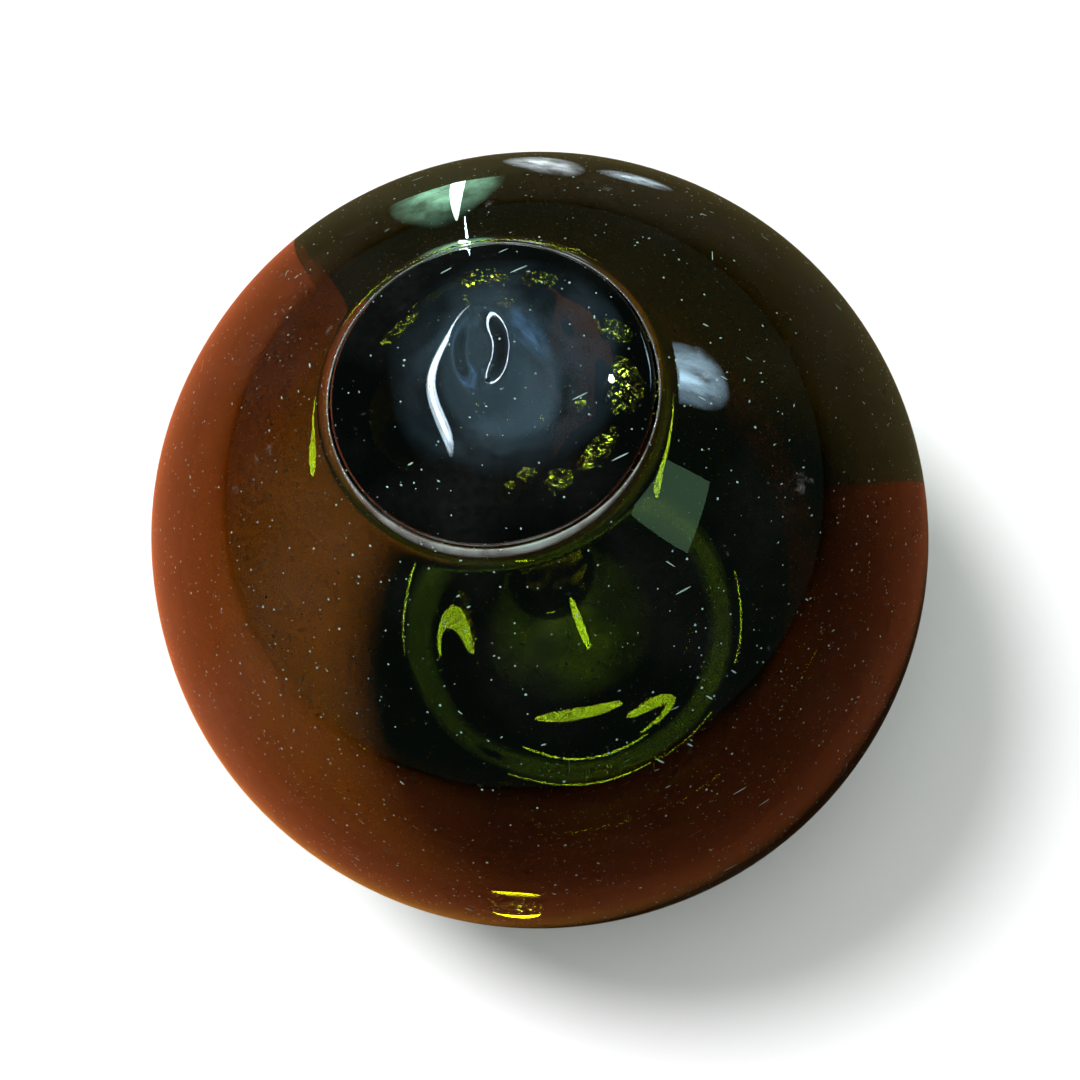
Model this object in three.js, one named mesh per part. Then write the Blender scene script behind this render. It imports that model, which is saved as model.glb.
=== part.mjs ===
// A blown-glass fishing float, as a standalone three.js example.
//
// The float is a ball of bottle glass. The hole that the blowpipe left is closed with a second lump
// of hot glass, the seal button, which is pressed on while both are soft. The ball's skin is drawn up
// a little all round the seal, and a sharp crease runs where the two lumps meet.
//
// Units are millimetres, +Z is up. The origin is the middle of the small flat spot that the ball
// rests on, and the axis of the float, through the seal button, is the Z axis.

import * as THREE from 'three';

// ---- driving dimensions -------------------------------------------------------------------------

const BALL_RADIUS = 65;        // outside, so the ball is 130 across: the trade's "five inch" float
const FLAT_SPOT_RADIUS = 10;   // where the glass sagged on to the cooling bench
const SEAL_RADIUS = 23;        // the seal button at its widest
const SEAL_STANDS = 2.6;       // how far the button's top stands out of the ball's round
const SEAL_EDGE_RADIUS = 1.2;  // the rolled edge of the button
const SEAL_UNDERCUT = 0.4;     // how far the edge rolls back in before it meets the ball
const SINK_RADIUS = 13;        // the middle of the button sank as the thick glass cooled
const SINK_DEPTH = 0.55;
const COLLAR_RISE = 0.6;       // the ball's skin drawn up at the crease
const COLLAR_REACH = 12;       // how far out from the crease the skin is drawn up
const SEAL_GAP = 0.3;          // clearance between the two lumps of glass

const TURNS = 72;              // facets round the axis
const BALL_STEPS = 40;         // bands from the flat spot to the collar
const COLLAR_STEPS = 6;
const EDGE_STEPS = 6;
const DOME_STEPS = 10;

const GLASS = { color: 0x3a2f0c, roughness: 0.06, metalness: 0 };
const SEAL_GLASS = { color: 0x14160a, roughness: 0.06, metalness: 0 };

// ---- sizes worked out from them -----------------------------------------------------------------

const centreHeight = Math.sqrt(BALL_RADIUS ** 2 - FLAT_SPOT_RADIUS ** 2);
const flatAngle = Math.asin(FLAT_SPOT_RADIUS / BALL_RADIUS);
const creaseAngle = Math.asin(SEAL_RADIUS / BALL_RADIUS);
const collarAngle = Math.asin((SEAL_RADIUS + COLLAR_REACH) / BALL_RADIUS);
const creaseDistance = BALL_RADIUS + COLLAR_RISE;
const seatRadius = creaseDistance * Math.sin(creaseAngle);
const seatHeight = centreHeight + creaseDistance * Math.cos(creaseAngle);
const sealBase = seatHeight + SEAL_GAP;
const sealTop = centreHeight + BALL_RADIUS + SEAL_STANDS;

// The rolled edge is part of a circle that starts at its undercut foot, and the dome's circle touches
// it from outside and passes through the top.
const edgeAxis = SEAL_RADIUS - SEAL_EDGE_RADIUS;
const undercutAngle = -Math.acos(1 - SEAL_UNDERCUT / SEAL_EDGE_RADIUS);
const edgeHeight = sealBase - SEAL_EDGE_RADIUS * Math.sin(undercutAngle);
const domeFall = sealTop - edgeHeight;
const domeRadius = (edgeAxis ** 2 + domeFall ** 2 - SEAL_EDGE_RADIUS ** 2)
  / (2 * (domeFall - SEAL_EDGE_RADIUS));
const domeSlope = Math.asin(edgeAxis / (domeRadius - SEAL_EDGE_RADIUS));

// ---- profiles: a radius and a height, from the axis at the bottom to the axis at the top --------

const point = (radius, height) => new THREE.Vector2(radius, height);
const smooth = (t) => t * t * (3 - 2 * t);

// Points from one value to another, both ends included.
const steps = (from, to, count) =>
  Array.from({ length: count + 1 }, (unused, i) => from + ((to - from) * i) / count);

// A point on the ball at an angle from its top, where the skin may stand `rise` out of the round.
function onBall(angle, rise = 0) {
  const distance = BALL_RADIUS + rise;
  return point(distance * Math.sin(angle), centreHeight + distance * Math.cos(angle));
}

// The collar rises with the cube of the way from its foot to the crease, so it is concave.
function onCollar(angle) {
  const way = (collarAngle - angle) / (collarAngle - creaseAngle);
  return onBall(angle, COLLAR_RISE * way ** 3);
}

function ballProfile() {
  const round = steps(Math.PI - flatAngle, collarAngle, BALL_STEPS).map((angle) => onBall(angle));
  const collar = steps(collarAngle, creaseAngle, COLLAR_STEPS).slice(1).map(onCollar);
  return [point(0, 0), ...round, ...collar, point(0, seatHeight)];
}

// The button's top is a round dome whose middle has sunk into a shallow dish.
function domeHeight(radius) {
  const fall = domeRadius - Math.sqrt(domeRadius ** 2 - radius ** 2);
  const dish = radius < SINK_RADIUS ? SINK_DEPTH * (1 - smooth(radius / SINK_RADIUS)) : 0;
  return sealTop - fall - dish;
}

function sealProfile() {
  const edge = steps(undercutAngle, Math.PI / 2 - domeSlope, EDGE_STEPS).map((angle) =>
    point(edgeAxis + SEAL_EDGE_RADIUS * Math.cos(angle),
      edgeHeight + SEAL_EDGE_RADIUS * Math.sin(angle)));
  const dome = steps(domeRadius * Math.sin(domeSlope), 0, DOME_STEPS).slice(1).map((radius) =>
    point(radius, domeHeight(radius)));
  return [point(0, sealBase), ...edge, ...dome];
}

// ---- turned pieces ------------------------------------------------------------------------------

function turned(name, profile, look) {
  const geometry = new THREE.LatheGeometry(profile, TURNS);
  geometry.rotateX(Math.PI / 2);
  const mesh = new THREE.Mesh(geometry, new THREE.MeshStandardMaterial(look));
  mesh.name = name;
  return mesh;
}

const floatBall = new THREE.Group();
floatBall.name = 'glass_float';
floatBall.add(turned('blown_ball', ballProfile(), GLASS));
floatBall.add(turned('seal_button', sealProfile(), SEAL_GLASS));

export default floatBall;
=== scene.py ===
# %% [markdown]
# # A blown-glass fishing float
#
# A float is a bubble of bottle glass, blown on a pipe and then knocked off it. The hole that the pipe
# left is closed with a second lump of hot glass, the seal button. This lesson builds both lumps as
# turned shapes, gives the glass its colour the way real glass gets it, from how far light travels
# inside it, and lights them so that the thick and the thin glass read differently.

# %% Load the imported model
import math
import bmesh
import bpy
import numpy as np
from mathutils import Matrix, Quaternion, Vector


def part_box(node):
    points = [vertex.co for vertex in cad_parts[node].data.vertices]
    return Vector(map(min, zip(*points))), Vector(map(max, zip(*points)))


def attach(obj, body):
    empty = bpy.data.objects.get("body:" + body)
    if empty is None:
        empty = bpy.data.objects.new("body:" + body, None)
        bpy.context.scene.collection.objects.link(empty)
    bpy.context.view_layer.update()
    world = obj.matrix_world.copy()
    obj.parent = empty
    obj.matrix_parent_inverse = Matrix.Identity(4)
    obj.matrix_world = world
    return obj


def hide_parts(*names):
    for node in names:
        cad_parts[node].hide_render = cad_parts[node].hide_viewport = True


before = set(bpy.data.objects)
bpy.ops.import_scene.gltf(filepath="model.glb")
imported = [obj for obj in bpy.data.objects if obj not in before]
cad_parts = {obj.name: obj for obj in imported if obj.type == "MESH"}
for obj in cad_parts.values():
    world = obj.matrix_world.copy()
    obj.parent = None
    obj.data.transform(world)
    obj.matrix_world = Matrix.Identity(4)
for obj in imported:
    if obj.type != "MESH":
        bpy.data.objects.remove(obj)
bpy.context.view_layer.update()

# %% [markdown]
# ## Sizes
#
# The model gives the outside of the ball and of the seal button. What is hidden inside is the glass
# worker's: the wall, the pool of thicker glass that sagged to the bottom, and the drop that the seal
# button makes inside the ball. They are written in millimetres, because that is how one measures
# glass.

# %% Sizes of the ball and its seal
MM = 0.001


def span(node):
    """Half the width, the lowest and the highest point of a node of the model."""
    low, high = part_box(node)
    return (high[0] - low[0]) / 2, low[2], high[2]


BALL_RADIUS, FLOOR_LEVEL, _ = span("blown_ball")
SEAL_RADIUS, SEAL_FOOT, SEAL_TOP = span("seal_button")
FLAT_SPOT = 10 * MM
CENTRE = FLOOR_LEVEL + math.sqrt(BALL_RADIUS ** 2 - FLAT_SPOT ** 2)
COLLAR_RISE = 0.6 * MM
COLLAR_REACH = 12 * MM
LIP_RISE = 1.0 * MM
LIP_REACH = 3.5 * MM
WALL = 4.5 * MM
POOL_RADIUS = 31 * MM
POOL_DEPTH = 3.2 * MM
POOL_STEP = 1.7 * MM
MOUTH_TAPER = 3.5 * MM
SEAL_DROP = 8.5 * MM
FUSE_GAP = 0.05 * MM
print("ball radius", BALL_RADIUS, "centre height", CENTRE, "seal radius", SEAL_RADIUS)

# %% [markdown]
# ## Turned shapes
#
# Both lumps were turned on the pipe while they were soft, so each is a profile carried round an axis.
# A lathe or the Spin tool would do it, but a grid of two parameters, along the profile and round the
# axis, can also carry what the hand left: the skin is never perfectly round. The ends of a profile
# on the axis become one point each, so the surface is closed and has no ring of slivers at its poles.

# %% Helpers that make a mesh from a profile
TURNS = 192


def link_mesh(name, points, faces):
    """A mesh object from arrays of points and faces, smooth shaded, at the origin."""
    mesh = bpy.data.meshes.new(name)
    mesh.from_pydata(points.tolist(), [], faces.tolist())
    mesh.shade_smooth()
    piece = bpy.data.objects.new(name, mesh)
    bpy.context.scene.collection.objects.link(piece)
    return piece


def even_steps(profile, spacing):
    """The same line with points evenly spaced along it, each stretch cut by its own length."""
    runs = [profile[:1]]
    for start, end in zip(profile[:-1], profile[1:]):
        count = max(1, int(round(np.linalg.norm(end - start) / spacing)))
        way = np.arange(1, count + 1)[:, None] / count
        runs.append(start + (end - start) * way)
    return np.concatenate(runs)


def turn(profile, wander):
    """Points and faces of a closed turned shape.

    profile is radius and height, from the axis to the axis. Each ring of the grid is the profile's
    point times the cosine and sine of the angle round the axis, moved along the profile's own normal
    by wander(x, y, z). Two triangles join each step of a ring to the next ring, and a fan closes
    each pole.
    """
    angle = np.linspace(0, 2 * math.pi, TURNS, endpoint=False)
    along = np.gradient(profile, axis=0)
    along /= np.linalg.norm(along, axis=1)[:, None]
    normal = np.stack([along[:, 1], -along[:, 0]], axis=1)
    ring, turned_normal = profile[1:-1], normal[1:-1]
    x = ring[:, :1] * np.cos(angle)
    y = ring[:, :1] * np.sin(angle)
    z = np.repeat(ring[:, 1:], TURNS, axis=1)
    push = wander(x, y, z)
    x = x + push * turned_normal[:, :1] * np.cos(angle)
    y = y + push * turned_normal[:, :1] * np.sin(angle)
    z = z + push * turned_normal[:, 1:]
    grid = np.stack([x, y, z], axis=-1).reshape(-1, 3)
    poles = np.array([[0, 0, profile[0, 1]], [0, 0, profile[-1, 1]]])
    rings = len(ring)
    here = np.arange(TURNS)
    after = np.roll(here, -1)
    start = np.arange(rings - 1)[:, None] * TURNS
    lower = np.stack([start + here, start + after, start + TURNS + after], -1)
    upper = np.stack([start + here, start + TURNS + after, start + TURNS + here], -1)
    first, last, top = rings * TURNS, rings * TURNS + 1, (rings - 1) * TURNS
    fans = [np.stack([np.full(TURNS, first), after, here], -1),
            np.stack([np.full(TURNS, last), top + here, top + after], -1)]
    faces = np.concatenate([lower.reshape(-1, 3), upper.reshape(-1, 3)] + fans)
    return np.concatenate([grid, poles]), faces


# %% [markdown]
# ## What the hand left
#
# Blown glass is fire polished, so it has no tool marks, but it cools a little out of round. The lights
# show that as streaks that bend. A displacement texture could give it, but the sum of a few sine
# waves through space is smoother. They are about 0.05 mm high outside and 0.1 mm inside, which
# nothing ever touched, and the drop under the seal is lumpier still.

# %% Waves of the skin
rng = np.random.default_rng(7)


def waves(height, length, count):
    """A function of x, y, z: the sum of sine waves in random directions, each about `length` long."""
    way = rng.normal(size=(count, 3))
    way *= (2 * math.pi / length) / np.linalg.norm(way, axis=1)[:, None]
    way *= rng.uniform(0.7, 1.4, size=(count, 1))
    shift = rng.uniform(0, 2 * math.pi, size=count)

    def wander(x, y, z):
        total = 0
        for (a, b, c), start in zip(way, shift):
            total = total + np.sin(a * x + b * y + c * z + start)
        return height * total / math.sqrt(count)

    return wander


skin_waves = waves(0.05 * MM, 55 * MM, 5)
cavity_waves = waves(0.10 * MM, 40 * MM, 7)
pool_waves = waves(0.18 * MM, 30 * MM, 5)
button_waves = waves(0.05 * MM, 13 * MM, 6)
drop_waves = waves(0.55 * MM, 11 * MM, 8)
print("skin waves at the top of the ball:", float(skin_waves(0, 0, CENTRE + BALL_RADIUS)), "metres")

# %% [markdown]
# ## The ball
#
# A real float is hollow, so the ball is one closed skin that runs up the outside, over the collar,
# down the mouth under the seal button and round the cavity. Glass lies between the two, so light
# bends four times on its way through. Near the rim it can't enter the cavity at all: it turns back
# at the inner skin and shows the floor beside the float, not the floor under it.

# %% The ball's outside and inside


def outer_skin():
    """The round of the ball, from the flat spot to the crease.

    The collar rises with the cube of the way to the crease, and a narrow lip with its square, so the
    skin turns up in a hollow curve before it meets the seal button.
    """
    flat_angle = math.pi - math.asin(FLAT_SPOT / BALL_RADIUS)
    collar_angle = math.asin((SEAL_RADIUS + COLLAR_REACH) / BALL_RADIUS)
    crease_angle = math.asin(SEAL_RADIUS / BALL_RADIUS)
    angle = np.concatenate([np.linspace(flat_angle, collar_angle, 150)[:-1],
                            np.linspace(collar_angle, crease_angle, 70)])
    way = np.clip((collar_angle - angle) / (collar_angle - crease_angle), 0, 1)
    lip_way = np.clip(1 - (angle - crease_angle) * BALL_RADIUS / LIP_REACH, 0, 1)
    radius = BALL_RADIUS + COLLAR_RISE * way ** 3 + LIP_RISE * lip_way ** 2
    return np.stack([radius * np.sin(angle), CENTRE + radius * np.cos(angle)], axis=1)


def cavity_skin(start):
    """The inside, from an angle under the seal down to the axis.

    It is round, but a pool of glass fills its bottom: the floor rises by POOL_DEPTH divided by one
    plus e to the (r - POOL_RADIUS) / POOL_STEP, an S-shaped step round the pool. The profile's points
    are closer together for 6 mm to each side of the step.
    """
    radius = BALL_RADIUS - WALL
    before, after = [math.pi - math.asin((POOL_RADIUS + d * MM) / radius) for d in (6, -6)]
    angle = np.concatenate([np.linspace(start, before, 100)[:-1],
                            np.linspace(before, after, 61)[:-1],
                            np.linspace(after, math.pi, 26)])
    r, z = radius * np.sin(angle), CENTRE + radius * np.cos(angle)
    below = z < CENTRE
    step = 1 / (1 + np.exp((r - POOL_RADIUS) / POOL_STEP))
    z = z + np.where(below, POOL_DEPTH * step, 0)
    return np.stack([r, z], axis=1)


outside = outer_skin()
crease = outside[-1]
mouth_angle = math.asin((SEAL_RADIUS - MOUTH_TAPER) / (BALL_RADIUS - WALL))
cavity = cavity_skin(mouth_angle)
mouth = cavity[0]

bottom = np.array([[0, FLOOR_LEVEL]])
flat = even_steps(np.concatenate([bottom, outside[:1]]), 1.0 * MM)
throat = even_steps(np.stack([crease, mouth]), 0.4 * MM)
ball_profile = np.concatenate([flat[:-1], outside, throat[1:-1], cavity])
ball_profile[-1, 0] = 0
print("ball profile points", len(ball_profile), "mouth radius", mouth[0])


def ball_wander(x, y, z):
    """The skin's waves outside, the cavity's inside, and none on the flat spot or at the mouth.

    The pool's edge has waves of its own, weighed by e to the minus ((r - POOL_RADIUS) / 4 mm) squared.
    """
    r = np.hypot(x, y)
    inside = np.hypot(r, z - CENTRE) < BALL_RADIUS - 0.3 * WALL
    near_step = np.exp(-((r - POOL_RADIUS) / (4 * MM)) ** 2) * (z < CENTRE)
    hollow = cavity_waves(x, y, z) + near_step * pool_waves(x, y, z)
    wave = np.where(inside, hollow, skin_waves(x, y, z))
    off_flat = np.clip((z - FLOOR_LEVEL) / (3 * MM), 0, 1)
    off_mouth = np.clip((r - SEAL_RADIUS - 0.5 * MM) / (6 * MM), 0, 1)
    above = z > CENTRE
    calm = np.where(above, off_mouth, np.where(inside, 1, off_flat))
    return wave * calm


# %% [markdown]
# ## Seeds and a blister
#
# Bottle glass holds seeds, small bubbles of air that were left in the melt, and here and there a
# blister, a bubble that the blowing pressed flat. They can be modelled as balls of another material,
# but the truth is simpler: a bubble is one more hole in the glass. Its faces therefore point into the
# hole, and it belongs to the same mesh as the wall that it sits in.

# %% Seeds and a blister in the wall
SEEDS = 150
SEED_SMALL, SEED_SPREAD = 0.10 * MM, 0.30 * MM
BLISTER_PLACE = (math.radians(82), math.radians(251))
BLISTER_HALVES = (4.4 * MM, 3.3 * MM, 0.9 * MM)
BLISTER_WRINKLE = (0.3 * MM, 4 * MM)


def round_bubble(cuts):
    """A ball of radius 1, an icosahedron cut `cuts` times, as points and faces that point inwards."""
    bubble = bmesh.new()
    bmesh.ops.create_icosphere(bubble, subdivisions=cuts, radius=1)
    points = np.array([v.co[:] for v in bubble.verts])
    faces = np.array([[v.index for v in f.verts] for f in bubble.faces])
    bubble.free()
    return points, faces[:, ::-1]


def seeds():
    """Round seeds of many sizes in the middle of the wall: one ball, scaled and moved for each.

    A seed's radius is SEED_SMALL plus SEED_SPREAD times the cube of a random part, so few are large.
    """
    unit, unit_faces = round_bubble(2)
    height = rng.uniform(-0.93, 0.86, SEEDS)
    turn_angle = rng.uniform(0, 2 * math.pi, SEEDS)
    flat_r = np.sqrt(1 - height ** 2)
    way = np.stack([flat_r * np.cos(turn_angle), flat_r * np.sin(turn_angle), height], 1)
    size = SEED_SMALL + SEED_SPREAD * rng.random(SEEDS) ** 3
    depth = BALL_RADIUS - WALL * rng.uniform(0.3, 0.7, SEEDS)
    middle = way * depth[:, None] + np.array([0, 0, CENTRE])
    points = unit[None] * size[:, None, None] + middle[:, None]
    faces = unit_faces[None] + np.arange(SEEDS)[:, None, None] * len(unit)
    return points.reshape(-1, 3), faces.reshape(-1, 3)


def flat_bubble(centre, normal, level, halves, wrinkle, length):
    """A ball squeezed to three half axes: along `level`, across it, and along `normal`.

    Before that, each point moves in or out by up to a fifth of the radius, by the sum of three sines
    of its place, so the outline is uneven. After it, the whole sheet is wrinkled along the normal by
    a product of two sines, `wrinkle` high and `length` long.
    """
    unit, faces = round_bubble(5)
    swell = np.sin(unit @ np.array([[3.1, 1.2, 0.4], [-1.7, 4.0, 0.9], [2.3, -2.9, 1.1]])).sum(axis=1)
    shaped = unit * (1 + 0.07 * swell)[:, None] * halves
    k = 2 * math.pi / length
    shaped[:, 2] += wrinkle * np.sin(k * shaped[:, 0] + swell) * np.sin(k * shaped[:, 1] - swell)
    level = np.cross(np.cross(normal, level), normal)
    level /= np.linalg.norm(level)
    axes = np.stack([level, np.cross(normal, level), normal])
    return shaped @ axes + centre, faces


def blister():
    """One flat bubble low in the wall, wide along its level."""
    down, round_z = BLISTER_PLACE
    normal = np.array([math.sin(down) * math.cos(round_z), math.sin(down) * math.sin(round_z),
                       math.cos(down)])
    centre = normal * (BALL_RADIUS - 0.45 * WALL) + np.array([0, 0, CENTRE])
    level = np.cross(normal, (0, 0, 1))
    return flat_bubble(centre, normal, level, BLISTER_HALVES, *BLISTER_WRINKLE)


def join(*parts):
    """Points and faces of several parts as one shape: each part's faces count on from the last."""
    starts = np.cumsum([0] + [len(points) for points, _ in parts[:-1]])
    faces = [part[1] + start for start, part in zip(starts, parts)]
    return np.concatenate([points for points, _ in parts]), np.concatenate(faces)


ball = link_mesh("blown_glass_ball", *join(turn(ball_profile, ball_wander), seeds(), blister()))
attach(ball, "root")
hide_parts("blown_ball")
print("ball with its bubbles:", len(ball.data.polygons), "triangles")

# %% [markdown]
# ## The seal button
#
# The button is a gather of glass dropped on the hole. Outside, it spreads into a dome with a rolled
# edge, and its middle sinks as it cools. Inside, it hangs into the ball as a thick, uneven drop. It
# is a plug here, a hair's breadth from the mouth, so one looks through one thick lens of glass, and
# the crease round it catches the light.

# %% The seal's surface
EDGE_RADIUS = 1.2 * MM
UNDERCUT = 0.4 * MM
SINK_RADIUS = 13 * MM
SINK_DEPTH = 0.55 * MM
PIT_HALVES = (4.4 * MM, 7.2 * MM)
PIT_DEPTH = 0.38 * MM
PIT_PLACE = np.array([0.3, 5.0]) * MM
PIT_TURN = math.radians(-18)


def dome_of(edge_axis, edge_height):
    """Radius of the circle through the top that touches the rolled edge, and its slope there."""
    fall = SEAL_TOP - edge_height
    radius = (edge_axis ** 2 + fall ** 2 - EDGE_RADIUS ** 2) / (2 * (fall - EDGE_RADIUS))
    return radius, math.asin(edge_axis / (radius - EDGE_RADIUS))


def smooth(way):
    """An S-shaped step from 0 to 1."""
    way = np.clip(way, 0, 1)
    return way * way * (3 - 2 * way)


def seal_profile():
    """From the drop's lowest point, up the mouth and over the dome, to the top.

    The drop goes by an angle from 0 to a quarter turn: its radius by the sine to the power 0.9, and
    its depth by the cosine to the power 1.6, which is blunter than a ball. The dome is a circle, less
    a dish of SINK_DEPTH in its middle.
    """
    edge_axis = SEAL_RADIUS - EDGE_RADIUS
    undercut = -math.acos(1 - UNDERCUT / EDGE_RADIUS)
    edge_height = SEAL_FOOT - EDGE_RADIUS * math.sin(undercut)
    dome_radius, slope = dome_of(edge_axis, edge_height)
    angle = np.linspace(undercut, math.pi / 2 - slope, 16)
    edge = np.stack([edge_axis + EDGE_RADIUS * np.cos(angle),
                     edge_height + EDGE_RADIUS * np.sin(angle)], 1)
    radius = np.linspace(dome_radius * math.sin(slope), 0, 90)[1:]
    fall = dome_radius - np.sqrt(dome_radius ** 2 - radius ** 2)
    dish = SINK_DEPTH * (1 - smooth(radius / SINK_RADIUS))
    dome = np.stack([radius, SEAL_TOP - fall - dish], 1)
    plug_foot = mouth - np.array([FUSE_GAP, 0])
    plug = even_steps(np.stack([plug_foot, edge[0]]), 0.4 * MM)
    turn_angle = np.linspace(0, math.pi / 2, 70)[:-1]
    drop = np.stack([plug_foot[0] * np.sin(turn_angle) ** 0.9,
                     plug_foot[1] - SEAL_DROP * np.cos(turn_angle) ** 1.6], 1)
    return np.concatenate([drop, plug, edge[1:], dome])


def seal_wander(x, y, z):
    """Waves on the dome, lumps on the drop, and an oval pit where the gather was cut off.

    The pit is PIT_DEPTH deep times one less an S-shaped step of the distance from its middle, counted
    in its half axes, from 0.35 to 1. Waves and lumps die out towards the edge by the same step.
    """
    r = np.hypot(x, y)
    on_dome = z > SEAL_FOOT + EDGE_RADIUS
    away_x, away_y = x - PIT_PLACE[0], y - PIT_PLACE[1]
    short = (away_x * math.cos(PIT_TURN) + away_y * math.sin(PIT_TURN)) / PIT_HALVES[0]
    long = (away_y * math.cos(PIT_TURN) - away_x * math.sin(PIT_TURN)) / PIT_HALVES[1]
    pit = PIT_DEPTH * (1 - smooth((np.hypot(short, long) - 0.35) / 0.65))
    inward = smooth((SEAL_RADIUS - 2 * MM - r) / (4 * MM))
    below = z < mouth[1] - 0.2 * MM
    lumps = drop_waves(x, y, z) * smooth((mouth[0] - r) / (5 * MM))
    skin = inward * (skin_waves(x, y, z) + button_waves(x, y, z))
    return np.where(on_dome, skin - pit, np.where(below, lumps, 0))


# %% [markdown]
# ## Air under the button
#
# Where the gather was pressed on, it caught flat pockets of air. They could be painted on, but a
# pocket is a mirror for light that comes from inside the glass, and its wrinkles break that light up
# into lime glints. So they are holes in the button's own mesh, as the seeds are in the ball's.

# %% The air pockets and the finished seal
# Each pocket's place across the seal in two directions, its depth under the top, its half length,
# half width and half height, all in millimetres, and its turn in degrees. The pockets lean as if they
# lay on a ball of radius POCKET_ARC, also in millimetres, which is about as flat as the dome.
POCKET_TURN = math.radians(-17)
POCKET_ARC = 70
POCKET_WRINKLE = (0.5 * MM, 2.4 * MM)
POCKETS = ((18.3, -0.6, 4.9, 4.4, 2.7, 1.2, 85), (17.0, 8.0, 4.8, 2.6, 1.7, 0.9, -30),
           (14.8, -9.8, 4.8, 3.8, 1.6, 0.9, 50), (9.3, -14.0, 4.8, 2.0, 1.6, 0.8, 20),
           (-1.5, 16.8, 5.0, 3.6, 1.7, 0.9, 0), (6.6, 16.4, 4.8, 2.6, 1.3, 0.8, -10),
           (12.6, -3.4, 4.2, 1.0, 0.9, 0.5, 0), (5.0, -13.0, 4.2, 1.2, 0.9, 0.5, 30),
           (2.8, -14.4, 4.2, 0.7, 0.6, 0.4, 0), (-13.0, 9.5, 4.8, 3.2, 0.9, 0.5, 40))


def pocket(right, up, depth, long, wide, high, turned):
    """One flat uneven pocket in the seal, lying along the dome over it."""
    x = right * math.cos(POCKET_TURN) - up * math.sin(POCKET_TURN)
    y = right * math.sin(POCKET_TURN) + up * math.cos(POCKET_TURN)
    normal = np.array([x, y, POCKET_ARC])
    normal /= np.linalg.norm(normal)
    angle = POCKET_TURN + math.radians(turned)
    level = np.array([math.cos(angle), math.sin(angle), 0])
    centre = np.array([x * MM, y * MM, SEAL_TOP - depth * MM])
    halves = (long * MM, wide * MM, high * MM)
    return flat_bubble(centre, normal, level, halves, *POCKET_WRINKLE)


seal = link_mesh("seal_glass_button",
                 *join(turn(seal_profile(), seal_wander), *[pocket(*sizes) for sizes in POCKETS]))
print("seal button with its pockets:", len(seal.data.polygons), "triangles")
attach(seal, "root")
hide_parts("seal_button")

# %% [markdown]
# ## Colour from thickness
#
# Bottle glass is coloured all through by iron, so it is coloured by what it takes out of light on the
# way. A tinted surface would give a thin wall and a thick lump the same colour. Absorption in the body
# of the glass makes the thin wall a pale olive and the thick seal button a dark one, from one colour.

# %% Helpers for materials


def linear(hex_colour):
    """Linear RGBA from an sRGB hex value."""
    parts = [int(hex_colour[i:i + 2], 16) / 255 for i in (1, 3, 5)]
    curve = [c / 12.92 if c <= 0.04045 else ((c + 0.055) / 1.055) ** 2.4 for c in parts]
    return (*curve, 1.0)


def add(tree, kind, settings=None, links=None):
    """Adds a node, sets its properties and plain sockets, and links its inputs.

    What an input is linked to is a socket, or else a node, of which the first output in use is meant.
    """
    node = tree.nodes.new(kind)
    for key, value in (settings or {}).items():
        if isinstance(key, str) and hasattr(node, key):
            setattr(node, key, value)
        else:
            node.inputs[key].default_value = value
    for key, source in (links or {}).items():
        if isinstance(source, bpy.types.Node):
            source = next(output for output in source.outputs if output.enabled)
        tree.links.new(source, node.inputs[key])
    return node


def new_material(name):
    """An empty node material and its output node."""
    material = bpy.data.materials.new(name)
    material.use_nodes = True
    material.node_tree.nodes.clear()
    return material, add(material.node_tree, "ShaderNodeOutputMaterial")


def absorption(passed_hex, thickness):
    """Colour and density of a Volume Absorption that leaves a colour after a thickness of glass.

    What is left after a path is e to the minus (1 - colour) times density times the path, so the
    strongest absorbed channel sets the density, and the others are parts of it.
    """
    loss = [-math.log(max(c, 1e-4)) / thickness for c in linear(passed_hex)[:3]]
    density = max(loss) * 1.02
    return (*[1 - part / density for part in loss], 1.0), density


# %% [markdown]
# ## What lies on the glass
#
# A float that has been at sea has specks of grit and short scratches on its skin, pale grime in the
# crease round the seal, and a film of dust in soft patches. The band in the crease is grime and also a
# painted highlight: it grows wider and brighter on the side turned towards the camera, as if the lip
# round the seal caught the light there. They could be painted on by hand. Here each is a pattern
# worked out from the place on the float, with its sizes in millimetres.

# %% Grit and scratches
GRIT_CELL, GRIT_LARGEST = 1.7 * MM, 0.115
SCRATCH_CELL, SCRATCH_LARGEST = (26 * MM, 1.6 * MM), 0.08
SCRATCH_TURNS = ((0.2, 0.5, 1.3), (1.2, 0.1, 0.2), (0.3, -0.6, 2.4))


def flecks(tree, place, length, width, turned, largest):
    """1 on small flecks and 0 elsewhere: the cores of Voronoi cells of a length and width.

    A cell has one core, whose radius is a part of the cell, up to `largest`, picked by the cell's
    random colour. Long narrow cells, turned by an angle, give scratches.
    """
    stretched = add(tree, "ShaderNodeMapping",
                    {"vector_type": "TEXTURE", "Rotation": turned, "Scale": (length, width, width)},
                    {"Vector": place})
    cells = add(tree, "ShaderNodeTexVoronoi", {"Scale": 1.0}, {"Vector": stretched})
    pick = add(tree, "ShaderNodeSeparateColor", links={"Color": cells.outputs["Color"]})
    core = add(tree, "ShaderNodeMapRange", {"To Max": largest}, {"Value": pick})
    return add(tree, "ShaderNodeMath", {"operation": "LESS_THAN"}, {0: cells, 1: core})


def grit_and_scratches(tree, place):
    """1 on specks of grit up to 0.2 mm in radius and on scratches in three directions, else 0."""
    marks = flecks(tree, place, GRIT_CELL, GRIT_CELL, (0, 0, 0), GRIT_LARGEST)
    for turned in SCRATCH_TURNS:
        scratch = flecks(tree, place, *SCRATCH_CELL, turned, SCRATCH_LARGEST)
        marks = add(tree, "ShaderNodeMath", {"operation": "MAXIMUM"}, {0: marks, 1: scratch})
    return marks


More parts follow.
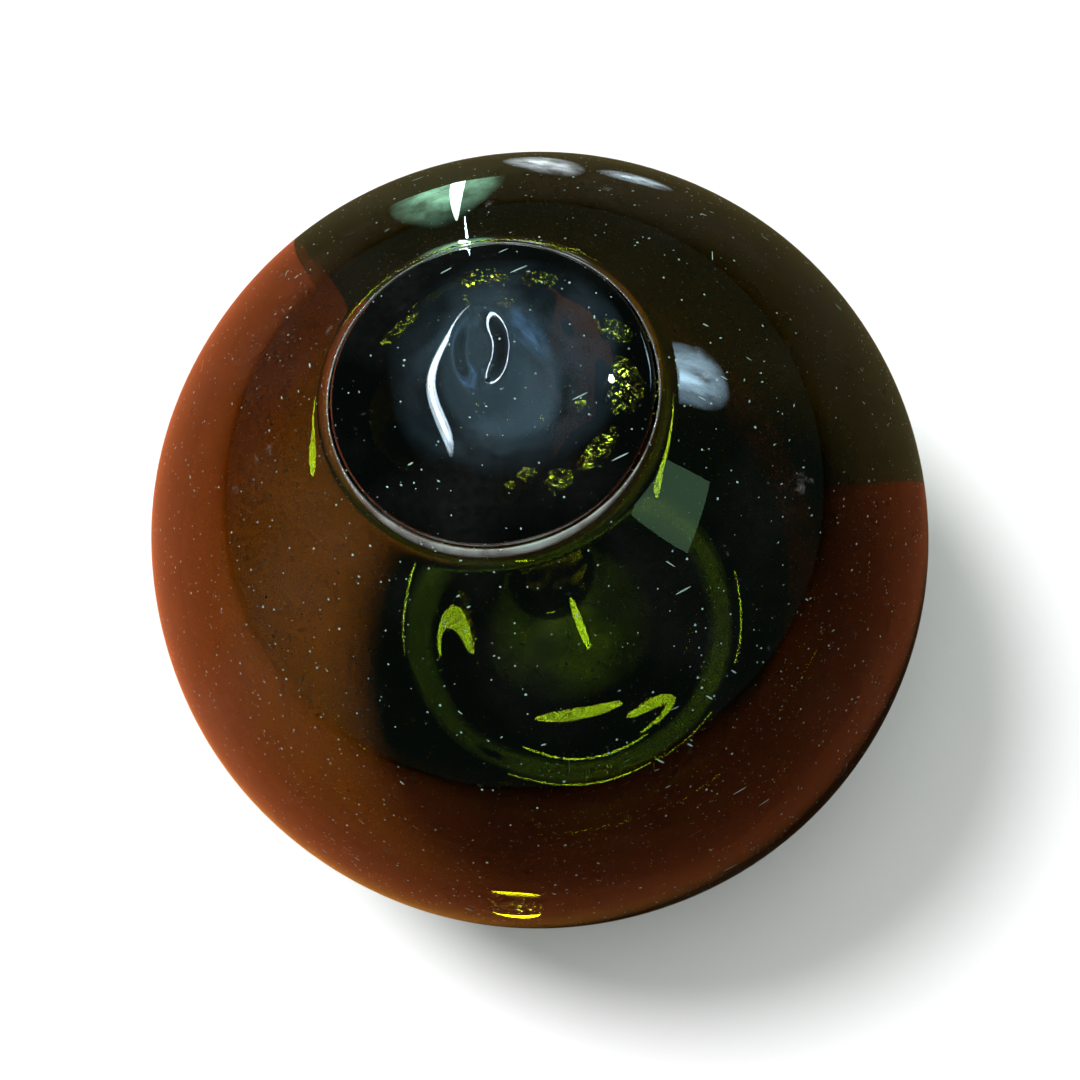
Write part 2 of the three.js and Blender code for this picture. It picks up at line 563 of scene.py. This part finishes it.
print("largest speck of grit:", GRIT_CELL * GRIT_LARGEST, "metres in radius")

# %% Grime and a painted highlight in the crease
PAINTED_HIGHLIGHT_SIDE = (-0.325, -0.946, 0)
GRIME_LINE, GRIME_AND_HIGHLIGHT_BAND, GRIME_AND_HIGHLIGHT_PATCH = 0.3 * MM, 0.9 * MM, 7 * MM


def crease_grime_and_highlight(tree, place):
    """How thickly grime lies, by the distance from the crease round the seal button.

    The distance is the root of (r - crease radius) squared plus (z - crease height) squared.
    `highlight_side_part` goes from 0 to 1 towards PAINTED_HIGHLIGHT_SIDE, the side turned towards the
    camera. The band is GRIME_LINE wide plus GRIME_AND_HIGHLIGHT_BAND times that part, so it is a faint
    hair line of grime all round and a wider, denser band on that side, which is a painted highlight.
    It is even up to 0.3 of its width and gone at its edge, and a cloudy pattern breaks it up.
    """
    part = add(tree, "ShaderNodeSeparateXYZ", links={"Vector": place}).outputs
    level = add(tree, "ShaderNodeCombineXYZ", links={"X": part["X"], "Y": part["Y"]})
    way = add(tree, "ShaderNodeVectorMath", {"operation": "NORMALIZE"}, {0: level})
    side = add(tree, "ShaderNodeVectorMath", {"operation": "DOT_PRODUCT", 1: PAINTED_HIGHLIGHT_SIDE}, {0: way})
    # Painted highlight: the band widens towards the side turned towards the camera.
    highlight_side_part = add(tree, "ShaderNodeMapRange", {"From Min": 0.45, "From Max": 0.95}, {"Value": side})

    reach = add(tree, "ShaderNodeVectorMath", {"operation": "LENGTH"}, {0: level})
    beyond = add(tree, "ShaderNodeMath", {"operation": "SUBTRACT", 1: float(crease[0])}, {0: reach})
    above = add(tree, "ShaderNodeMath", {"operation": "SUBTRACT", 1: float(crease[1])},
                {0: part["Z"]})
    across = add(tree, "ShaderNodeCombineXYZ", links={"X": beyond, "Z": above})
    away = add(tree, "ShaderNodeVectorMath", {"operation": "LENGTH"}, {0: across})
    wider = add(tree, "ShaderNodeMath", {"operation": "MULTIPLY", 1: GRIME_AND_HIGHLIGHT_BAND}, {0: highlight_side_part})
    width = add(tree, "ShaderNodeMath", {"operation": "ADD", 1: GRIME_LINE}, {0: wider})
    fade = add(tree, "ShaderNodeMath", {"operation": "DIVIDE"}, {0: away, 1: width})
    band = add(tree, "ShaderNodeMapRange", {"From Min": 0.3, "To Min": 0.8, "To Max": 0.0},
               {"Value": fade})

    cloud = add(tree, "ShaderNodeTexNoise", {"Scale": 1 / GRIME_AND_HIGHLIGHT_PATCH, "Detail": 5.0},
                {"Vector": place})
    patchy = add(tree, "ShaderNodeMapRange", {"From Min": 0.35, "From Max": 0.65, "To Min": 0.25},
                 {"Value": cloud})
    # Painted highlight: the band is denser towards the side turned towards the camera.
    brighter_to_side = add(tree, "ShaderNodeMapRange", {"To Min": 0.4}, {"Value": highlight_side_part})
    broken = add(tree, "ShaderNodeMath", {"operation": "MULTIPLY"}, {0: band, 1: patchy})
    return add(tree, "ShaderNodeMath", {"operation": "MULTIPLY"}, {0: broken, 1: brighter_to_side})


print("the crease is at radius", crease[0], "and height", crease[1])

# %% The film of dust
DUST_PATCH, DUST_GRAIN, SMUDGE = 38 * MM, 1.2 * MM, 9 * MM
HAZE, SMUDGE_HAZE = 0.02, 0.35


def dust_film(tree, place):
    """How thickly dust lies: soft patches up to HAZE plus smudges up to SMUDGE_HAZE, times a grain.

    The patches and the smudges are the peaks of two cloudy patterns, and the grain is a third.
    """
    patch = add(tree, "ShaderNodeTexNoise",
                {"Scale": 1 / DUST_PATCH, "Detail": 3.0, "Roughness": 0.6}, {"Vector": place})
    smear = add(tree, "ShaderNodeTexNoise",
                {"Scale": 1 / SMUDGE, "Detail": 6.0, "Roughness": 0.7}, {"Vector": place})
    grain = add(tree, "ShaderNodeTexNoise", {"Scale": 1 / DUST_GRAIN, "Detail": 2.0},
                {"Vector": place})
    thin = add(tree, "ShaderNodeMapRange", {"From Min": 0.5, "From Max": 0.75, "To Max": HAZE},
               {"Value": patch})
    smudge = add(tree, "ShaderNodeMapRange",
                 {"From Min": 0.66, "From Max": 0.78, "To Max": SMUDGE_HAZE}, {"Value": smear})
    film = add(tree, "ShaderNodeMath", {"operation": "ADD"}, {0: thin, 1: smudge})
    return add(tree, "ShaderNodeMath", {"operation": "MULTIPLY"}, {0: film, 1: grain})


print("dust patches of", DUST_PATCH, "metres with a grain of", DUST_GRAIN, "metres")

# %% [markdown]
# ## Fire-polished bottle glass
#
# Soda-lime glass has an index of refraction of 1.52 and, fire polished, no roughness, so it shows
# sharp reflections and lets one see right through. Years outdoors dull its mirror a little, and the
# lower specular level gives that. Grit, scratches and grime scatter light instead of passing it, and
# the pale band in the crease is also a painted highlight. One shader could lower its transmission
# there, but a clear one and a matt one, mixed by these marks, keep each of them plain.

# %% The glass
WALL_COLOUR = "#a69d4b"
# Pale colour of grit, scratches and crease grime; in the crease band it is also a painted highlight.
DIRT_AND_HIGHLIGHT_COLOUR = "#a6cabf"
GLASS_SKIN = {"IOR": 1.52, "Specular IOR Level": 0.32}


def glass(name):
    """Bottle glass that lets WALL_COLOUR through one wall's thickness, under its dirt and dust.

    The matt shader covers the clear one by the larger of the marks and the dust, and turns from white
    to DIRT_AND_HIGHLIGHT_COLOUR with the marks: grit, scratches and the crease band, which is also a
    painted highlight.
    """
    material, output = new_material(name)
    tree = material.node_tree
    place = add(tree, "ShaderNodeTexCoord").outputs["Object"]
    # Grit, scratches and the crease band, which is grime and also a painted highlight.
    dirt_and_highlight = add(tree, "ShaderNodeMath", {"operation": "MAXIMUM"},
               {0: grit_and_scratches(tree, place), 1: crease_grime_and_highlight(tree, place)})
    cover = add(tree, "ShaderNodeMath", {"operation": "MAXIMUM"},
                {0: dirt_and_highlight, 1: dust_film(tree, place)})

    clear = add(tree, "ShaderNodeBsdfPrincipled",
                {**GLASS_SKIN, "Base Color": (1, 1, 1, 1), "Roughness": 0.0,
                 "Transmission Weight": 1.0})
    colour = add(tree, "ShaderNodeMix",
                 {"data_type": "RGBA", 6: (1, 1, 1, 1), 7: linear(DIRT_AND_HIGHLIGHT_COLOUR)}, {0: dirt_and_highlight})
    matt = add(tree, "ShaderNodeBsdfPrincipled", {**GLASS_SKIN, "Roughness": 0.45},
               {"Base Color": colour})
    skin = add(tree, "ShaderNodeMixShader", links={0: cover, 1: clear, 2: matt})
    tint, density = absorption(WALL_COLOUR, WALL)
    body = add(tree, "ShaderNodeVolumeAbsorption", {"Color": tint, "Density": density})
    tree.links.new(skin.outputs["Shader"], output.inputs["Surface"])
    tree.links.new(body.outputs["Volume"], output.inputs["Volume"])
    print(name, "absorbs", [round(c, 3) for c in tint[:3]], "at", round(density), "per metre")
    return material


ball.data.materials.append(glass("olive_bottle_glass"))
seal.data.materials.append(glass("olive_seal_glass"))

# %% [markdown]
# ## The floor and the painted cards
#
# The float lies on a pale matt floor, painted board. Glass shows its surroundings more than itself.
# Two level cards lie where the floor does and are seen only by way of the glass. They are painted
# reflections: a warm one gives the glass a warm reddish floor to show at its rim and through it, and
# an olive one on the far side is painted shade that darkens that side of the glass. The warm one is
# also painted darker away from one side, as shade, and more golden close under the float, as painted
# light in place of the light through the glass that a path tracer could work out from caustics,
# slowly.

# %% Floor and painted cards
FLOOR_SIZE = 4.0


def level_sheet(name, paint_name, hex_colour, apex, start, end):
    """A matt sheet at the height that the float rests on, which casts no shadow.

    It is a fan of triangles from the apex to an arc of radius FLOOR_SIZE between two angles.
    """
    angle = np.radians(np.linspace(start, end, 49))
    arc = np.stack([np.cos(angle), np.sin(angle), 0 * angle], 1) * FLOOR_SIZE
    points = np.concatenate([[[*apex, 0]], arc]) + np.array([0, 0, FLOOR_LEVEL])
    first = np.arange(1, len(arc))
    sheet = link_mesh(name, points, np.stack([0 * first, first, first + 1], 1))
    paint, output = new_material(paint_name)
    shader = add(paint.node_tree, "ShaderNodeBsdfPrincipled",
                 {"Base Color": linear(hex_colour), "Roughness": 0.8, "Specular IOR Level": 0.2})
    paint.node_tree.links.new(shader.outputs["BSDF"], output.inputs["Surface"])
    sheet.data.materials.append(paint)
    sheet.visible_shadow = False
    return sheet


def paint_shade_and_glow(sheet, bright_side, least, painted_glow_hex):
    """Darkens a sheet's colour with the turn away from one side, down to a least part of it.

    The darkening is painted shade. Close under the float the sheet has a more golden colour of its
    own, painted light, which gives way to the full colour between 70 mm and 100 mm from the middle.
    """
    tree = sheet.data.materials[0].node_tree
    shader = next(node for node in tree.nodes if node.type == "BSDF_PRINCIPLED")
    full = shader.inputs["Base Color"].default_value[:]
    place = add(tree, "ShaderNodeTexCoord").outputs["Object"]
    apart = add(tree, "ShaderNodeVectorMath", {"operation": "LENGTH"}, {0: place})
    # Painted light: a golden colour close under the float.
    outer = add(tree, "ShaderNodeMapRange", {"From Min": 0.07, "From Max": 0.10}, {"Value": apart})
    hue = add(tree, "ShaderNodeMix", {"data_type": "RGBA", 6: linear(painted_glow_hex), 7: full},
              {0: outer})
    way = add(tree, "ShaderNodeVectorMath", {"operation": "NORMALIZE"}, {0: place})
    side = add(tree, "ShaderNodeVectorMath", {"operation": "DOT_PRODUCT", 1: bright_side},
               {0: way})
    # Painted shade: darker with the turn away from the lit side.
    part = add(tree, "ShaderNodeMapRange", {"From Min": 0.1, "To Min": least}, {"Value": side})
    colour = add(tree, "ShaderNodeMix", {"data_type": "RGBA", 6: (0, 0, 0, 1)}, {0: part, 7: hue})
    tree.links.new(colour.outputs[2], shader.inputs["Base Color"])


floor = level_sheet("floor", "pale_matt_floor", "#efeff0", (0, 0), 0, 360)
floor.visible_glossy = floor.visible_transmission = False
CARD_APEX = (0.006, 0.02)
# The cards are painted reflections seen only in the glass: a warm one, and an olive one that is
# painted shade on the far side.
painted_cards = [level_sheet("warm_painted_reflection_card", "warm_painted_reflection_paint", "#ff8850", CARD_APEX, 112, 352),
         level_sheet("olive_painted_shade_card", "olive_painted_shade_paint", "#5c5230", CARD_APEX, -8, 112)]
for card in painted_cards:
    card.visible_camera = card.visible_diffuse = False
# Painted shade on the warm card away from one side, and painted golden light close under the float.
paint_shade_and_glow(painted_cards[0], (-0.93, 0.36, 0), 0.30, "#ffa848")
print("floor and cards at height", FLOOR_LEVEL)

# %% [markdown]
# ## The lamps
#
# Each lamp has one task. White lamps light the floor and give the float its soft shadow, and the
# glass doesn't mirror them. Windows and tubes show only as reflections on the outside. Lamps of a
# third kind show only through the glass, as the lime glints of light that is caught inside it. A
# photographer would sort the light with screens. Here each lamp says which rays may see it.

# %% Helpers for lamps


def lamp(name, place, along, size, watts, hex_colour, seen, soft_edge=False):
    """A flat lamp that faces the float. Its long side follows the direction `along`.

    A "matt" lamp lights matt surfaces only. An "outside" lamp shows only in reflections off the
    outside of the glass. An "inside" lamp shows only once its light has passed through the glass.
    """
    light = bpy.data.lights.new(name, "AREA")
    light.shape = "ELLIPSE"
    light.size, light.size_y = size
    light.energy = watts
    light.color = linear(hex_colour)[:3]
    holder = bpy.data.objects.new(name, light)
    holder.location = place
    back = (Vector(place) - Vector(middle)).normalized()
    across = Vector(along).cross(back).normalized()
    turned = Matrix((across, back.cross(across), back)).transposed()
    holder.rotation_mode = "QUATERNION"
    holder.rotation_quaternion = turned.to_quaternion()
    holder.visible_diffuse = seen == "matt"
    holder.visible_glossy = seen == "outside"
    holder.visible_transmission = seen == "inside"
    if soft_edge:
        soften(light)
    bpy.context.scene.collection.objects.link(holder)
    return holder


def only_light(holder, piece):
    """Lets a lamp light one piece alone."""
    lit = bpy.data.collections.new(holder.name + "_lights")
    lit.objects.link(piece)
    holder.light_linking.receiver_collection = lit


def soften(light):
    """Lets a lamp fade from its middle to its edge, with a cloudy pattern, as a lit ceiling does."""
    light.use_nodes = True
    tree = light.node_tree
    spot = add(tree, "ShaderNodeNewGeometry").outputs["Parametric"]
    from_middle = add(tree, "ShaderNodeVectorMath", {"operation": "DISTANCE", 1: (0.5, 0.5, 0)},
                      {0: spot})
    fade = add(tree, "ShaderNodeMapRange",
               {"From Min": 0.15, "From Max": 0.5, "To Min": 1.0, "To Max": 0.0},
               {"Value": from_middle})
    cloud = add(tree, "ShaderNodeTexNoise", {"Scale": 4.0, "Detail": 3.0}, {"Vector": spot})
    cloudy = add(tree, "ShaderNodeMapRange",
                 {"From Min": 0.35, "From Max": 0.65, "To Min": 0.3, "To Max": 1.3},
                 {"Value": cloud})
    strength = add(tree, "ShaderNodeMath", {"operation": "MULTIPLY"}, {0: fade, 1: cloudy})
    tree.links.new(strength.outputs["Value"], tree.nodes["Emission"].inputs["Strength"])


# %% The lamps
middle = (0, 0, CENTRE)
UP_VIEW = (0.309, 0.900, 0.310)
DAYLIGHT, PALE_DAYLIGHT, LIME, YELLOW_LIME = "#bfe8ff", "#d8efff", "#b4ffa8", "#ccff90"

# What lights the floor. The wide fill would make the cards too bright, so it lights the floor alone,
# and a much weaker one in the same place lights the cards as well.
lamp("soft_key", (-0.46, 0.38, 1.76), UP_VIEW, (0.5, 0.5), 30, "#ffffff", "matt")
fill = lamp("soft_fill", (0.1, -0.4, 2.2), UP_VIEW, (1.8, 1.8), 30, "#ffffff", "matt")
only_light(fill, floor)
lamp("card_fill", (0.1, -0.4, 2.2), UP_VIEW, (1.8, 1.8), 2.9, "#ffffff", "matt")

# What shows on the outside: the name, place, direction of the long side, size, watts, colour and
# whether the edge is soft. The last four stand for gleams thrown back by a float that lies beside it.
OUTSIDE_LAMPS = (
    ("tube_near", (-0.175, 0.645, 1.334), (0.383, 0.765, -0.334), (0.06, 0.95), 8, PALE_DAYLIGHT,
     True),
    ("spot_window", (0.665, 0.429, 1.405), UP_VIEW, (0.04, 0.06), 2, "#e6fff8", False),
    ("tube_far", (0.15, 1.9, 0.62), (0, 0, 1), (0.02, 1.0), 3, DAYLIGHT, False),
    ("side_window", (1.19, 0.42, 0.86), UP_VIEW, (0.4, 0.6), 9, DAYLIGHT, True),
    ("cool_ceiling", (0.148, 0.698, 1.45), UP_VIEW, (1.55, 1.8), 15, "#94c4dc", True),
    ("blue_window", (0.24, 0.80, 1.36), UP_VIEW, (0.3, 0.45), 1.2, "#7ab8f0", True),
    ("neighbour_glow", (0.014, 0.333, 0.033), (0.09, -0.18, -0.98), (0.10, 0.20), 0.22,
     "#a8f0c8", True),
    ("neighbour_streak", (0.024, 0.329, 0.019), (0.032, -0.223, -0.974), (0.012, 0.22), 0.10,
     "#d8ffe8", False),
    ("neighbour_rim", (0.088, 0.158, 0.031), (0.839, -0.51, -0.191), (0.03, 0.035), 0.008,
     "#d8f0ff", True),
    ("neighbour_edge", (0.051, 0.172, 0.029), (0.476, 0.197, 0.857), (0.03, 0.07), 0.016,
     "#e8f8ff", True))
for name, place, along, size, watts, hex_colour, soft_edge in OUTSIDE_LAMPS:
    lamp(name, place, along, size, watts, hex_colour, "outside", soft_edge)

# These light one piece alone: a bright patch on the floor, which shows through the glass by the
# blister, a green panel on the outside, a wide soft glow inside the ball, and a stronger one for the
# pockets in the seal.
patch = lamp("bright_patch", (-0.036, -0.075, 0.008), (1, 0, 0), (0.013, 0.013), 0.05, "#e0ff90",
             "inside")
panel = lamp("front_panel", (0.72, -0.34, 1.25), (0.40, -0.28, -0.38), (0.5, 0.9), 2.2, "#a8e6b0",
             "outside")
panel.data.shape = "RECTANGLE"
glow = lamp("inside_glow", (0.0, 0.36, 1.40), UP_VIEW, (1.6, 1.6), 40, LIME, "inside", True)
glint = lamp("inside_glint", (0.15, 0.2, 1.40), UP_VIEW, (1.0, 1.0), 260, "#c8ff90", "inside", True)
for holder, piece in ((patch, ball), (panel, ball), (glow, ball), (glint, seal)):
    only_light(holder, piece)

# %% Tubes for the arcs and glints
# Each tube's turn from +X and rise above the level in degrees, its width and length in metres, and
# the piece that it shines into. TUBE_APART is in metres from the origin, and TUBE_POWER is in watts
# per square metre of tube, with the colour.
TUBE_APART = 1.4
TUBE_BOUNCES = 8
TUBE_POWER = {ball: (1500, LIME), seal: (1200, YELLOW_LIME)}
INSIDE_TUBES = (
    (0, 56, 0.10, 0.7, ball), (142, 37, 0.08, 0.5, ball), (84, 42, 0.11, 0.6, ball),
    (106, 36, 0.06, 0.3, ball), (276, 46, 0.35, 0.05, ball),
    (180, 50, 0.12, 0.6, seal), (225, 50, 0.12, 0.6, seal), (130, 55, 0.10, 0.5, seal),
    (160, 70, 0.08, 0.3, seal))
for number, (degrees, rise, width, length, piece) in enumerate(INSIDE_TUBES):
    flat = Vector((math.cos(math.radians(degrees)), math.sin(math.radians(degrees)), 0))
    way = flat * math.cos(math.radians(rise)) + Vector((0, 0, math.sin(math.radians(rise))))
    power, hex_colour = TUBE_POWER[piece]
    tube = lamp(f"inside_tube_{number}", tuple(way * TUBE_APART), (-flat.y, flat.x, 0),
                (width, length), power * width * length, hex_colour, "inside")
    tube.data.cycles.max_bounces = TUBE_BOUNCES
    only_light(tube, piece)

# %% [markdown]
# ## The room
#
# The rest of the room is dim and greenish, and only the glass and the eye see it. Light that goes
# through the glass isn't let onto the floor, because the lamps that stand for the glints inside would
# tint the floor round the float.

# %% The room
world = bpy.data.worlds.new("dim_room")
world.use_nodes = True
background = world.node_tree.nodes["Background"].inputs
background["Color"].default_value = linear("#5f7f74")
background["Strength"].default_value = 0.25
world.cycles_visibility.diffuse = False
scene = bpy.context.scene
scene.world = world
scene.cycles.caustics_refractive = False
scene.view_settings.view_transform = "Standard"

# %% [markdown]
# ## The camera
#
# One looks down steeply on the seal, with the head a little on one side. A camera on a stand would be
# pointed at the float by hand. Here it starts from the ball's middle and goes back along the line of
# sight, turned up by ELEVATION from the level, and leans by LEAN.

# %% The camera
ELEVATION = math.radians(69.5)
LEAN = math.radians(18)
DISTANCE = 5.04 * BALL_RADIUS
camera_data = bpy.data.cameras.new("camera")
camera_data.sensor_width = 36
camera_data.lens = 64
camera_data.clip_start = 0.01
camera = bpy.data.objects.new("camera", camera_data)
away = Vector((0, -math.cos(ELEVATION), math.sin(ELEVATION)))
camera.location = Vector(middle) + away * DISTANCE
facing = (-away).to_track_quat("-Z", "Y")
camera.rotation_mode = "QUATERNION"
camera.rotation_quaternion = facing @ Quaternion((0, 0, 1), -LEAN)
bpy.context.scene.collection.objects.link(camera)
bpy.context.scene.camera = camera
print("camera", DISTANCE, "metres from the ball's middle")
